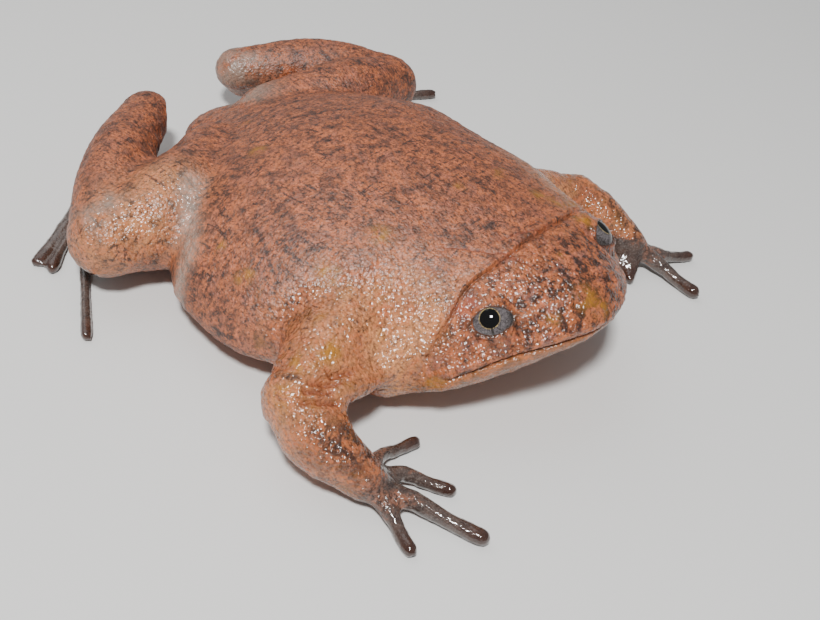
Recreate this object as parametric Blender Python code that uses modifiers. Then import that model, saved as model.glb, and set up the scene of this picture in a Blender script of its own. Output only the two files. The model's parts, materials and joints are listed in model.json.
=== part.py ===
"""Bleating frog, life size, squatting on its belly with the head held up.

The frog faces -Y, its right side is towards -X and the floor is z = 0.
Sizes here are millimetres, and become metres where a mesh is made.
"""
import bpy
import bmesh
import numpy as np
from math import cos, pi, sin
from mathutils import Matrix, Vector
from mathutils.bvhtree import BVHTree

MM = 0.001
GAP = 0.3
WELD = 0.0001
VOXEL = 0.26
FLESH_TRIANGLES = 8400
RELAX_ROUNDS = 14
DIGIT_RELAX_ROUNDS = 3
RELAX_STEP = 0.6

# Trunk and head, front to back: y, middle x, half width, height of the widest line, top, underside
STATIONS = (
    (-24.9, 0.0, 0.0, 9.2, 9.2, 9.2),
    (-23.6, 0.0, 4.7, 8.4, 11.1, 7.2),
    (-21.5, 0.0, 8.0, 6.6, 12.0, 4.9),
    (-19.0, 0.0, 11.3, 4.9, 12.5, 3.2),
    (-16.5, 0.0, 13.3, 3.9, 12.8, 2.2),
    (-12.0, -0.3, 14.7, 3.8, 13.2, 1.7),
    (-8.0, -1.3, 16.8, 3.8, 13.5, 0.5),
    (-3.0, -2.1, 17.6, 3.7, 13.6, -0.3),
    (2.0, -1.7, 17.6, 3.7, 13.2, -0.35),
    (7.0, -0.8, 15.0, 3.8, 11.7, -0.35),
    (12.0, 0.8, 10.1, 4.0, 9.3, -0.3),
    (17.0, 1.0, 5.9, 3.9, 6.3, 0.0),
    (19.6, 0.5, 3.9, 3.4, 4.7, 1.0),
    (21.2, 0.4, 0.0, 3.1, 3.1, 3.1),
)
TOP_SQUARENESS = 1.9
BELLY_SQUARENESS = 2.3
RINGS = 64
RING_POINTS = 56

# Swell of the chest between the arm and the jaw, as (x, y, z, radius)
CHEST = {"right": (-11.9, -13.4, 4.6, 3.4), "left": (11.0, -12.9, 4.6, 3.2)}

# Limbs of each side, as (x, y, z, radius)
ARMS = {
    "right": {
        "upper_arm": ((-9.5, -9.6, 6.0, 3.9), (-15.5, -10.6, 5.8, 3.5), (-20.9, -12.4, 5.0, 2.8)),
        "forearm": ((-20.9, -12.4, 5.0, 2.8), (-21.5, -15.7, 3.7, 2.6), (-20.5, -19.1, 2.1, 1.8)),
        "knuckles": ((-17.3, -17.9), (-17.2, -20.5), (-18.7, -22.8), (-20.8, -22.1)),
        "tips": ((-14.0, -18.6), (-15.5, -23.5), (-17.2, -27.8), (-21.8, -24.9)),
    },
    "left": {
        "upper_arm": ((8.5, -8.6, 6.2, 3.8), (13.6, -9.2, 5.1, 3.0), (17.8, -11.2, 4.6, 2.4)),
        "forearm": ((17.8, -11.2, 4.6, 2.4), (18.6, -14.2, 3.6, 2.1), (19.4, -17.2, 2.3, 1.6)),
        "knuckles": ((17.2, -17.6), (17.9, -18.8), (20.2, -20.4), (21.8, -19.8)),
        "tips": ((15.0, -17.3), (16.8, -19.3), (20.0, -24.5), (24.6, -21.4)),
    },
}
LEGS = {
    "right": {
        "thigh": ((-5.4, 13.2, 5.0, 3.4), (-13.3, 9.5, 5.3, 4.5), (-19.6, 10.4, 4.9, 3.3)),
        "shank": ((-19.6, 10.4, 4.9, 3.3), (-13.4, 16.7, 5.6, 3.1), (-5.8, 22.1, 5.1, 2.4)),
        "tarsus": (
            (-5.8, 22.1, 5.1, 2.2),
            (-7.4, 22.6, 2.4, 1.4),
            (-11.0, 21.8, 0.9, 1.0),
            (-14.6, 20.2, 0.7, 0.9),
        ),
        "ball": (-14.6, 20.2),
        "tips": ((-15.4, 14.2), (-18.0, 12.8), (-25.1, 6.2), (-22.2, 14.4), (-22.7, 15.9)),
    },
    "left": {
        "thigh": ((3.5, 15.2, 4.8, 3.4), (11.0, 12.6, 5.6, 3.9), (17.4, 12.4, 5.0, 3.1)),
        "shank": ((17.4, 12.4, 5.0, 3.1), (13.2, 18.6, 5.5, 2.9), (6.8, 23.4, 5.0, 2.2)),
        "tarsus": (
            (6.8, 23.4, 5.0, 2.2),
            (8.6, 23.3, 2.4, 1.4),
            (12.4, 21.2, 0.9, 1.0),
            (15.8, 18.6, 0.7, 0.9),
        ),
        "ball": (15.8, 18.6),
        "tips": ((15.4, 14.0), (18.6, 12.4), (22.6, 12.0), (26.4, 12.8), (23.4, 17.6)),
    },
}
FINGER_RADII = (0.62, 0.60, 0.68, 0.60)
TOE_RADII = (0.45, 0.48, 0.52, 0.58, 0.5)
FINGER_ARCH = 0.55
TOE_ARCH = 0.0
ROOT_SWELL = 1.25
KNUCKLE_SWELL = 1.15
TIP_SWELL = 1.12
PAD_SINK = 0.14
PALM_DROP = 0.5
TOE_KNUCKLE_SHARE = 0.4
# How far from a digit's line, and how high, the skin stays crisp, and over what length that fades
DIGIT_REACH = (1.2, 1.2)
DIGIT_HEIGHT = (1.8, 1.4)

# Eyes: centre and outward direction of each
EYE_CENTRES = {"right": (-6.4, -18.4, 8.3), "left": (6.4, -18.2, 9.0)}
EYE_AXES = {"right": (-0.65, -0.25, 0.72), "left": (0.44, -0.28, 0.86)}
EYE_RADIUS = 2.3
CORNEA_REACH = 2.55
SOCKET_RADIUS = EYE_RADIUS + GAP
BULGE_RADIUS = 3.1
EYE_STEPS = (18, 10)
LID_OPENING = (1.75, 1.12)
# How far the opening is turned, its front end up, and how far it lies ahead of and below the pupil
LID_TILT = 0.58
LID_AHEAD = 0.16
LID_BELOW = 0.2
LID_STEPS = 20
LID_ALMOND = 0.25
NOSTRIL = (2.5, -23.0, 10.9)
NOSTRIL_RADIUS = 0.34

# Cuts across the bent joints: upper and lower limb, length, width and slide towards the upper one
JOINT_CUTS = (
    ("upper_arm", "forearm", 8.0, 8.0, 0.0),
    ("shank", "tarsus", 9.4, 5.4, 1.2),
)
WRIST_CUT_SIZE = 6.4
WRIST_CUT_SHARE = 0.8
# Upright cuts, through points (x, y), and their lowest height
UPRIGHT_CUTS = {
    "shoulder_right": (((-20.8, -6.6), (-13.6, -16.4)), -1.0),
    "shoulder_left": (((19.2, -5.8), (14.6, -12.2), (15.6, -16.6)), -1.0),
    "hip_right": (((-20.9, -0.4), (-2.2, 23.5)), -1.0),
    "hip_left": (((17.2, 4.0), (2.0, 23.7)), -1.0),
    "knee_right": (((-25.0, 7.4), (-5.4, 19.4)), 1.35),
    "knee_left": (((23.0, 9.6), (5.6, 19.6)), 1.35),
}
UPRIGHT_CUT_TOP = 13.0
FLOOR_CUT_WIDTH = 90.0
FLOOR_CUT_DEPTH = 10.0
# A point inside each piece: on the middle line, and how far along a limb's last stretch
BODY_SEEDS = {"head": (0.0, -20.5, 9.6), "lower_jaw": (0.0, -20.0, 4.8), "torso": (0.0, 0.0, 7.0)}
LIMB_SEEDS = {"upper_arm": 0.7, "forearm": 0.2, "thigh": 0.5, "shank": 0.2}
LEAST_VOLUME = 0.1
SHARP_ANGLE = 0.7

# The fold behind the eyes, where the head is cut off, bent back round each socket
NECK_Y = -16.9
NECK_BEND = 1.9
NECK_BEND_SIZE = 2.1
MOUTH_CORNER = (-18.8, 5.6)
MOUTH_FRONT = (-24.9, 9.0)
MOUTH_BOW = 1.6
MOUTH_OVERRUN = 0.1
MOUTH_LEAD = 5.0
# Reach of these two cuts to either side, height of the neck's, and steps of each
HEAD_CUT_REACH = 16.0
NECK_CUT_HEIGHTS = (0.5, 16.0)
HEAD_CUT_STEPS = (17, 9)

# Forms pressed into the skin: how deep or high, how far from their line and how wide
NECK_GROOVE = (-0.25, 0.0, 0.4)
NECK_RIDGE = (0.16, 0.9, 0.5)
NECK_FADE = (4.0, 9.0)
UPPER_LIP = (0.22, 0.65, 0.45)
LOWER_LIP = (0.16, -0.65, 0.45)
LID_RIM = (0.18, 0.2, 0.3)
LID_CREASE = (-0.2, 0.95, 0.35)
ARM_FOLDS = (("upper_arm", 0.62), ("upper_arm", 0.86), ("forearm", 0.12), ("forearm", 0.42))
ARM_FOLD = (-0.2, 0.0, 0.42)

SKIN = (0.42, 0.19, 0.13)
SKIN_ROUGHNESS = 0.45
DARK_SKIN = (0.13, 0.10, 0.09)
DARK_SKIN_ROUGHNESS = 0.35
EYE_COLOUR = (0.03, 0.03, 0.03)
EYE_ROUGHNESS = 0.05


def material(name, colour, roughness):
    made = bpy.data.materials.new(name)
    made.use_nodes = True
    shader = made.node_tree.nodes["Principled BSDF"]
    shader.inputs["Base Color"].default_value = (*colour, 1.0)
    shader.inputs["Roughness"].default_value = roughness
    shader.inputs["Metallic"].default_value = 0.0
    made.diffuse_color = (*colour, 1.0)
    return made


def collection(name):
    made = bpy.data.collections.new(name)
    bpy.context.scene.collection.children.link(made)
    return made


def add_object(name, mesh, home):
    made = bpy.data.objects.new(name, mesh)
    home.objects.link(made)
    return made


def evaluated_mesh(obj):
    bpy.context.view_layer.update()
    depsgraph = bpy.context.evaluated_depsgraph_get()
    return bpy.data.meshes.new_from_object(obj.evaluated_get(depsgraph))


def through(knots, values, at):
    """A smooth line through the values, with no overshoot between the knots."""
    knots = np.asarray(knots, float)
    values = np.asarray(values, float)
    step = np.diff(knots)
    slope = np.diff(values) / step
    tangent = np.zeros_like(values)
    before, after = slope[:-1], slope[1:]
    same = before * after > 0
    tangent[1:-1][same] = 2 * before[same] * after[same] / (before[same] + after[same])
    tangent[0], tangent[-1] = slope[0], slope[-1]
    i = np.clip(np.searchsorted(knots, at) - 1, 0, len(step) - 1)
    t = (at - knots[i]) / step[i]
    return (
        (2 * t**3 - 3 * t**2 + 1) * values[i]
        + (t**3 - 2 * t**2 + t) * step[i] * tangent[i]
        + (3 * t**2 - 2 * t**3) * values[i + 1]
        + (t**3 - t**2) * step[i] * tangent[i + 1]
    )


def ease(value):
    """0 below 0, 1 above 1, and smooth between."""
    t = np.clip(value, 0.0, 1.0)
    return t * t * (3 - 2 * t)


def ripple(form, away):
    """A rounded ridge or groove, by how far a point lies from its line."""
    height, place, width = form
    return height * np.exp(-(((away - place) / width) ** 2))


def trunk_mesh():
    """Loft of the head and trunk, one closed body."""
    table = np.array(STATIONS)
    along = table[:, 0]
    turn = np.linspace(0.0, pi, RINGS + 2)[1:-1]
    ys = along[0] + (along[-1] - along[0]) * (1 - np.cos(turn)) / 2
    lean = through(along, table[:, 1], ys)
    half = np.sqrt(through(along, table[:, 2] ** 2, ys))
    widest = through(along, table[:, 3], ys)
    rise = np.sqrt(through(along, (table[:, 4] - table[:, 3]) ** 2, ys))
    drop = np.sqrt(through(along, (table[:, 3] - table[:, 5]) ** 2, ys))
    angles = 2 * pi * np.arange(RING_POINTS) / RING_POINTS
    bm = bmesh.new()
    rings = []
    for y, mid, w, z, up, down in zip(ys, lean, half, widest, rise, drop):
        ring = []
        for a in angles:
            c, s = np.cos(a), np.sin(a)
            power = 2 / (TOP_SQUARENESS if s > 0 else BELLY_SQUARENESS)
            x = mid + w * np.sign(c) * abs(c) ** power
            h = z + (up if s > 0 else down) * np.sign(s) * abs(s) ** power
            ring.append(bm.verts.new(Vector((x, y, h)) * MM))
        rings.append(ring)
    for first, second in zip(rings, rings[1:]):
        for k in range(RING_POINTS):
            j = (k + 1) % RING_POINTS
            bm.faces.new((first[k], first[j], second[j], second[k]))
    bm.faces.new(rings[0])
    bm.faces.new(rings[-1])
    bmesh.ops.recalc_face_normals(bm, faces=bm.faces[:])
    mesh = bpy.data.meshes.new("trunk")
    bm.to_mesh(mesh)
    bm.free()
    return mesh


def tube_mesh(points):
    """A round limb through points of (x, y, z, radius), with rounded ends."""
    data = bpy.data.curves.new("tube", "CURVE")
    data.dimensions = "3D"
    data.bevel_depth = MM
    data.bevel_resolution = 5
    data.resolution_u = 10
    data.use_fill_caps = True
    spline = data.splines.new("BEZIER")
    spline.radius_interpolation = "CARDINAL"
    spline.bezier_points.add(len(points) - 1)
    for knot, (x, y, z, radius) in zip(spline.bezier_points, points):
        knot.co = Vector((x, y, z)) * MM
        knot.radius = radius
        knot.handle_left_type = "AUTO"
        knot.handle_right_type = "AUTO"
    guide = bpy.data.objects.new("tube", data)
    bpy.context.scene.collection.objects.link(guide)
    mesh = evaluated_mesh(guide)
    bpy.data.objects.remove(guide)
    bpy.data.curves.remove(data)
    return mesh


def ball_mesh(centre, radius, segments=24):
    bm = bmesh.new()
    place = Matrix.Translation(Vector(centre) * MM)
    bmesh.ops.create_uvsphere(
        bm, u_segments=segments, v_segments=segments // 2, radius=radius * MM, matrix=place
    )
    mesh = bpy.data.meshes.new("ball")
    bm.to_mesh(mesh)
    bm.free()
    return mesh


def limb_meshes(points):
    """A tube with a ball at each end, which rounds the joint."""
    ends = [ball_mesh(p[:3], p[3]) for p in (points[0], points[-1])]
    return [tube_mesh(points), *ends]


def digit_meshes(root, knuckle, tip, radius, arch):
    """One finger or toe: from the root over the knuckle, down on its pad, to a blunt tip."""
    low = radius - PAD_SINK
    kx, ky = knuckle
    tx, ty = tip
    middle = ((kx + tx) / 2, (ky + ty) / 2)
    points = (
        (*root, radius * ROOT_SWELL),
        (kx, ky, low + arch, radius * KNUCKLE_SWELL),
        (*middle, low + arch / 4, radius),
        (tx, ty, low, radius * TIP_SWELL),
    )
    return [tube_mesh(points), ball_mesh(points[-1][:3], points[-1][3], 16)]


def arm_meshes(side):
    arm = ARMS[side]
    made = limb_meshes(arm["upper_arm"]) + limb_meshes(arm["forearm"])
    wrist = arm["forearm"][-1][:3]
    palm_root = (wrist[0], wrist[1], wrist[2] - PALM_DROP)
    for knuckle, tip, radius in zip(arm["knuckles"], arm["tips"], FINGER_RADII):
        made += digit_meshes(palm_root, knuckle, tip, radius, FINGER_ARCH)
    return made


def leg_meshes(side):
    leg = LEGS[side]
    made = limb_meshes(leg["thigh"]) + limb_meshes(leg["shank"]) + limb_meshes(leg["tarsus"])
    ball = Vector(leg["ball"])
    root = (*ball, leg["tarsus"][-1][2])
    for tip, radius in zip(leg["tips"], TOE_RADII):
        made += digit_meshes(root, ball.lerp(Vector(tip), TOE_KNUCKLE_SHARE), tip, radius, TOE_ARCH)
    return made


def mirrored(point, side):
    return (point[0] if side == "left" else -point[0], point[1], point[2])


def fused(meshes):
    """All pieces as one closed surface."""
    bm = bmesh.new()
    for mesh in meshes:
        bm.from_mesh(mesh)
        bpy.data.meshes.remove(mesh)
    bmesh.ops.remove_doubles(bm, verts=bm.verts[:], dist=WELD * MM)
    together = bpy.data.meshes.new("flesh")
    bm.to_mesh(together)
    bm.free()
    flesh = add_object("flesh", together, bpy.context.scene.collection)
    remesh = flesh.modifiers.new("fuse", "REMESH")
    remesh.mode = "VOXEL"
    remesh.voxel_size = VOXEL * MM
    return flesh


def digit_share(points):
    """1 on hands and feet, 0 on the body, by how far each point lies from a digit."""
    share = np.zeros(len(points))
    for side in ("right", "left"):
        hand = [np.array(ARMS[side]["forearm"][-1][:2])]
        hand += [np.array(p) for p in ARMS[side]["tips"]]
        foot = [np.array(LEGS[side]["ball"])]
        foot += [np.array(p) for p in LEGS[side]["tips"]]
        for root, *tips in (hand, foot):
            for tip in tips:
                line = tip - root
                t = np.clip(((points[:, :2] - root) @ line) / (line @ line), 0, 1)
                away = np.linalg.norm(points[:, :2] - root - t[:, None] * line, axis=1)
                near = 1 - ease((away - DIGIT_REACH[0]) / DIGIT_REACH[1])
                low = 1 - ease((points[:, 2] - DIGIT_HEIGHT[0]) / DIGIT_HEIGHT[1])
                share = np.maximum(share, near * low)
    return share


def point_array(mesh):
    points = np.empty(len(mesh.vertices) * 3)
    mesh.vertices.foreach_get("co", points)
    return points.reshape(-1, 3) / MM


def set_points(mesh, points):
    mesh.vertices.foreach_set("co", (points * MM).ravel())
    mesh.update()


def relaxed(obj):
    """Soft skin over the joins, with the digits kept crisp."""
    mesh = evaluated_mesh(obj)
    bpy.data.objects.remove(obj)
    points = point_array(mesh)
    count = len(points)
    edges = np.empty(len(mesh.edges) * 2, int)
    mesh.edges.foreach_get("vertices", edges)
    a, b = edges.reshape(-1, 2).T
    degree = np.bincount(a, minlength=count) + np.bincount(b, minlength=count)
    body = 1 - digit_share(points)
    for step in range(RELAX_ROUNDS):
        total = np.zeros_like(points)
        for axis in range(3):
            total[:, axis] = np.bincount(a, points[b, axis], count) + np.bincount(b, points[a, axis], count)
        mean = total / degree[:, None]
        weight = np.ones(count) if step < DIGIT_RELAX_ROUNDS else body
        points += RELAX_STEP * weight[:, None] * (mean - points)
    set_points(mesh, points)
    return mesh


def neck_rise(points):
    """The fold behind the eyes, deep over the back and lost on the throat."""
    x, y, z = points.T
    behind = y - neck_line(x, z)
    low, high = NECK_FADE
    return (ripple(NECK_GROOVE, behind) + ripple(NECK_RIDGE, behind)) * ease((z - low) / (high - low))


def lip_rise(points):
    x, y, z = points.T
    above = z - mouth_height(y)
    return (ripple(UPPER_LIP, above) + ripple(LOWER_LIP, above)) * ease(MOUTH_CORNER[0] + 1 - y)


def lid_rise(points, side):
    """A rim round the eye's opening and a crease outside it."""
    centre, axis, up, front = (np.array(v) for v in eye_frame(side))
    from_eye = points - centre
    half_long, half_high = LID_OPENING
    along = (from_eye @ front - LID_AHEAD) / half_long
    away = (np.hypot(along, (from_eye @ up + LID_BELOW) / half_high) - 1) * half_high
    return (ripple(LID_RIM, away) + ripple(LID_CREASE, away)) * ease(from_eye @ axis)


def arm_rise(points, side):
    """Creases across the arm on both sides of the elbow."""
    rise = np.zeros(len(points))
    for limb, share in ARM_FOLDS:
        start, end = np.array(ARMS[side][limb])[-2 if limb == "upper_arm" else 0 :][:2]
        knot = start + share * (end - start)
        way = (end - start)[:3] / np.linalg.norm((end - start)[:3])
        from_knot = points - knot[:3]
        along = from_knot @ way
        away = np.linalg.norm(from_knot - along[:, None] * way, axis=1)
        rise += ripple(ARM_FOLD, along) * (1 - ease(away / knot[3] - 1))
    return rise


def sculpted(mesh):
    """Folds, lips and lids raised or pressed along the skin's own direction."""
    points = point_array(mesh)
    ways = np.empty(len(points) * 3)
    mesh.vertex_normals.foreach_get("vector", ways)
    rise = neck_rise(points) + lip_rise(points)
    for side in ("right", "left"):
        rise += lid_rise(points, side) + arm_rise(points, side)
    set_points(mesh, points + rise[:, None] * ways.reshape(-1, 3))
    return mesh


def thinned(mesh):
    """The fused surface with fewer faces, more of them where it bends."""
    obj = add_object("thinned", mesh, bpy.context.scene.collection)
    triangles = sum(len(face.vertices) - 2 for face in mesh.polygons)
    fewer = obj.modifiers.new("fewer", "DECIMATE")
    fewer.ratio = FLESH_TRIANGLES / triangles
    fewer.use_collapse_triangulate = True
    made = evaluated_mesh(obj)
    bpy.data.objects.remove(obj)
    bpy.data.meshes.remove(mesh)
    return made


def slab(name, centre, facing, along, size, home):
    """A thin flat cutter across a limb, its long side turned towards along."""
    length, width = size
    upright = facing.normalized()
    forward = (along - upright * along.dot(upright)).normalized()
    turn = Matrix((forward, upright.cross(forward), upright)).transposed().to_4x4()
    place = Matrix.Translation(centre * MM) @ turn @ Matrix.Diagonal((length * MM, width * MM, GAP * MM, 1))
    bm = bmesh.new()
    bmesh.ops.create_cube(bm, size=1.0, matrix=place)
    mesh = bpy.data.meshes.new(name)
    bm.to_mesh(mesh)
    bm.free()
    return add_object(name, mesh, home)


def sheet(name, place, across, along, home):
    """A thin curved cutter: place(u, v) gives its middle over a grid of steps."""
    bm = bmesh.new()
    rows = [[bm.verts.new(Vector(place(u, v)) * MM) for u in across] for v in along]
    for low, high in zip(rows, rows[1:]):
        for k in range(len(across) - 1):
            bm.faces.new((low[k], low[k + 1], high[k + 1], high[k]))
    mesh = bpy.data.meshes.new(name)
    bm.to_mesh(mesh)
    bm.free()
    obj = add_object(name, mesh, home)
    wall = obj.modifiers.new("wall", "SOLIDIFY")
    wall.thickness = GAP * MM
    wall.offset = 0.0
    wall.use_even_offset = True
    return obj


def neck_line(x, z):
    """How far back the fold lies: it bends back round each socket."""
    eye_x, eye_y, eye_z = EYE_CENTRES["left"]
    away = (abs(x) - eye_x) ** 2 + (z - eye_z) ** 2
    return NECK_Y + NECK_BEND * np.exp(-away / NECK_BEND_SIZE**2)


def neck_place(x, z):
    return (x, neck_line(x, z), z)


def mouth_height(y):
    corner_y, corner_z = MOUTH_CORNER
    front_y, front_z = MOUTH_FRONT
    share = np.clip((corner_y - y) / (corner_y - front_y), 0.0, 1.0)
    return corner_z + (front_z - corner_z) * (1 - (1 - share) ** MOUTH_BOW)


def mouth_place(x, share):
    """From the front of the lips, at 0, back to the fold behind the eyes, at 1."""
    front = MOUTH_FRONT[0] - MOUTH_LEAD
    y = front + share * (neck_line(x, MOUTH_CORNER[1]) + MOUTH_OVERRUN - front)
    return (x, y, mouth_height(y))


def limb_cutters(home):
    for side in ("right", "left"):
        limbs = {**ARMS[side], **LEGS[side]}
        for upper, lower, length, width, slide in JOINT_CUTS:
            before, joint = (Vector(point[:3]) for point in limbs[upper][-2:])
            after = Vector(limbs[lower][1][:3])
            facing = ((joint - before).normalized() + (after - joint).normalized()).normalized()
            back = before - joint
            back = (back - facing * back.dot(facing)).normalized()
            slab(f"cut_{upper}_{side}", joint + back * slide, facing, back, (length, width), home)
        middle, wrist = (Vector(point[:3]) for point in limbs["forearm"][-2:])
        place = middle.lerp(wrist, WRIST_CUT_SHARE)
        size = (WRIST_CUT_SIZE, WRIST_CUT_SIZE)
        slab(f"cut_wrist_{side}", place, wrist - middle, Vector((0, 0, 1)), size, home)
    for name, (points, low) in UPRIGHT_CUTS.items():
        line = [Vector(point) for point in points]
        sheet(f"cut_{name}", lambda k, z: (*line[k], z), range(len(line)), (low, UPRIGHT_CUT_TOP), home)


def eye_frame(side):
    centre = Vector(EYE_CENTRES[side])
    axis = Vector(EYE_AXES[side]).normalized()
    up = (Vector((0, 0, 1)) - axis * axis.z).normalized()
    front = axis.cross(up) if side == "right" else up.cross(axis)
    front, up = front * cos(LID_TILT) + up * sin(LID_TILT), up * cos(LID_TILT) - front * sin(LID_TILT)
    return centre, axis, up, front


def lid_cutter(side, home):
    """The almond opening between the lids."""
    centre, axis, up, front = eye_frame(side)
    middle = centre + front * LID_AHEAD - up * LID_BELOW
    half_long, half_high = LID_OPENING
    bm = bmesh.new()
    rings = []
    for reach in (SOCKET_RADIUS / 2, BULGE_RADIUS * 2):
        ring = []
        for k in range(LID_STEPS):
            a = 2 * pi * k / LID_STEPS
            side_way = front * half_long * np.cos(a)
            high_way = up * half_high * np.sin(a) * (1 - LID_ALMOND + LID_ALMOND * abs(np.sin(a)))
            ring.append(bm.verts.new((middle + axis * reach + side_way + high_way) * MM))
        rings.append(ring)
    for k in range(LID_STEPS):
        j = (k + 1) % LID_STEPS
        bm.faces.new((rings[0][k], rings[0][j], rings[1][j], rings[1][k]))
    bm.faces.new(rings[0])
    bm.faces.new(rings[1])
    bmesh.ops.recalc_face_normals(bm, faces=bm.faces[:])
    mesh = bpy.data.meshes.new(f"cut_lids_{side}")
    bm.to_mesh(mesh)
    bm.free()
    return add_object(mesh.name, mesh, home)


def floor_cutter(home):
    bm = bmesh.new()
    size = Matrix.Diagonal((FLOOR_CUT_WIDTH * MM, FLOOR_CUT_WIDTH * MM, FLOOR_CUT_DEPTH * MM, 1))
    bmesh.ops.create_cube(bm, size=1.0, matrix=Matrix.Translation((0, 0, -FLOOR_CUT_DEPTH / 2 * MM)) @ size)
    mesh = bpy.data.meshes.new("cut_floor")
    bm.to_mesh(mesh)
    bm.free()
    return add_object("cut_floor", mesh, home)


def all_cutters(home):
    limb_cutters(home)
    columns, rows = HEAD_CUT_STEPS
    across = np.linspace(-HEAD_CUT_REACH, HEAD_CUT_REACH, columns)
    sheet("cut_neck", neck_place, across, np.linspace(*NECK_CUT_HEIGHTS, rows), home)
    sheet("cut_mouth", mouth_place, across, np.linspace(0, 1, rows), home)
    floor_cutter(home)
    for side in ("right", "left"):
        centre, axis, up, front = eye_frame(side)
        add_object(f"cut_socket_{side}", ball_mesh(centre, SOCKET_RADIUS), home)
        add_object(f"cut_nostril_{side}", ball_mesh(mirrored(NOSTRIL, side), NOSTRIL_RADIUS, 10), home)
        lid_cutter(side, home)
    for obj in home.objects:
        obj.hide_render = True
        obj.display_type = "WIRE"


def islands(bm):
    """The corners of each connected surface."""
    seen = set()
    found = []
    for start in bm.verts:
        if start in seen:
            continue
        seen.add(start)
        island = [start]
        for here in island:
            for edge in here.link_edges:
                vert = edge.other_vert(here)
                if vert not in seen:
                    seen.add(vert)
                    island.append(vert)
        found.append(island)
    return found


def piece_mesh(bm, island):
    number = {vert: k for k, vert in enumerate(island)}
    faces = [[number[vert] for vert in face.verts] for face in bm.faces if face.verts[0] in number]
    mesh = bpy.data.meshes.new("piece")
    mesh.from_pydata([vert.co for vert in island], [], faces)
    return mesh


def parted(mesh, cutters):
    """The flesh after all cuts, as a list of closed meshes."""
    obj = add_object("parted", mesh, bpy.context.scene.collection)
    cut = obj.modifiers.new("cut", "BOOLEAN")
    cut.operation = "DIFFERENCE"
    cut.operand_type = "COLLECTION"
    cut.collection = cutters
    cut.solver = "EXACT"
    cut.use_self = True
    done = evaluated_mesh(obj)
    bpy.data.objects.remove(obj)
    bm = bmesh.new()
    bm.from_mesh(done)
    bmesh.ops.triangulate(bm, faces=bm.faces[:])
    pieces = [piece_mesh(bm, island) for island in islands(bm)]
    bm.free()
    return pieces


def seeds():
    """A point inside each piece of flesh."""
    found = dict(BODY_SEEDS)
    for side in ("right", "left"):
        limbs = {**ARMS[side], **LEGS[side]}
        for name, share in LIMB_SEEDS.items():
            before, joint = (Vector(point[:3]) for point in limbs[name][-2:])
            found[f"{name}_{side}"] = before.lerp(joint, share)
        found[f"hand_{side}"] = (*limbs["knuckles"][2], FINGER_ARCH)
        found[f"foot_{side}"] = (*limbs["ball"], limbs["tarsus"][-1][2])
    return found


def volume(mesh):
    bm = bmesh.new()
    bm.from_mesh(mesh)
    size = bm.calc_volume(signed=True)
    bm.free()
    return size


def named_flesh(pieces, home, skin, dark):
    """Each piece takes the name of the seed that it lies round."""
    trees = []
    for piece in pieces:
        bm = bmesh.new()
        bm.from_mesh(piece)
        trees.append(BVHTree.FromBMesh(bm))
        bm.free()
    big = [volume(piece) > LEAST_VOLUME * MM**3 for piece in pieces]
    for name, seed in seeds().items():
        here = Vector(seed) * MM
        away = [tree.find_nearest(here)[3] if kept else 1.0 for tree, kept in zip(trees, big)]
        piece = pieces[int(np.argmin(away))]
        if piece.users:
            others = [obj.name for obj in home.objects if obj.data == piece]
            raise RuntimeError(f"{name} isn't parted from {others}")
        obj = add_object(name, piece, home)
        obj.data.name = name
        obj.data.materials.append(dark if name.startswith(("hand", "foot")) else skin)
        obj.data.shade_smooth()
        obj.data.set_sharp_from_angle(angle=SHARP_ANGLE)


def eyeball(side, home, finish):
    """A ball with a slight cornea towards the outside."""
    centre, axis, up, front = eye_frame(side)
    bm = bmesh.new()
    across_steps, down_steps = EYE_STEPS
    bmesh.ops.create_uvsphere(bm, u_segments=across_steps, v_segments=down_steps, radius=EYE_RADIUS * MM)
    turn = axis.to_track_quat("Z", "Y").to_matrix().to_4x4()
    for vert in bm.verts:
        if vert.co.z > 0:
            vert.co.z *= CORNEA_REACH / EYE_RADIUS
    bmesh.ops.transform(bm, matrix=Matrix.Translation(centre * MM) @ turn, verts=bm.verts[:])
    mesh = bpy.data.meshes.new(f"eye_{side}")
    bm.to_mesh(mesh)
    bm.free()
    mesh.materials.append(finish)
    mesh.shade_smooth()
    add_object(mesh.name, mesh, home)


def centred(home, others):
    """Move everything so that the middle of the box's underside is the origin."""
    corners = np.array([v.co for obj in home.objects for v in obj.data.vertices])
    low, high = corners.min(axis=0), corners.max(axis=0)
    shift = Matrix.Translation((-(low[0] + high[0]) / 2, -(low[1] + high[1]) / 2, -low[2]))
    for obj in (*home.objects, *others.objects):
        obj.data.transform(shift)


def main():
    for obj in list(bpy.data.objects):
        bpy.data.objects.remove(obj)
    home = collection("bleating_frog")
    cutters = collection("cutters")
    skin = material("frog_skin", SKIN, SKIN_ROUGHNESS)
    dark = material("dark_skin", DARK_SKIN, DARK_SKIN_ROUGHNESS)
    eye = material("eye", EYE_COLOUR, EYE_ROUGHNESS)
    meshes = [trunk_mesh()]
    for side in ("right", "left"):
        meshes += arm_meshes(side) + leg_meshes(side)
        meshes.append(ball_mesh(EYE_CENTRES[side], BULGE_RADIUS))
        meshes.append(ball_mesh(CHEST[side][:3], CHEST[side][3]))
    flesh = thinned(sculpted(relaxed(fused(meshes))))
    all_cutters(cutters)
    named_flesh(parted(flesh, cutters), home, skin, dark)
    for side in ("right", "left"):
        eyeball(side, home, eye)
    centred(home, cutters)


if __name__ == "__main__":
    main()
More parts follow.
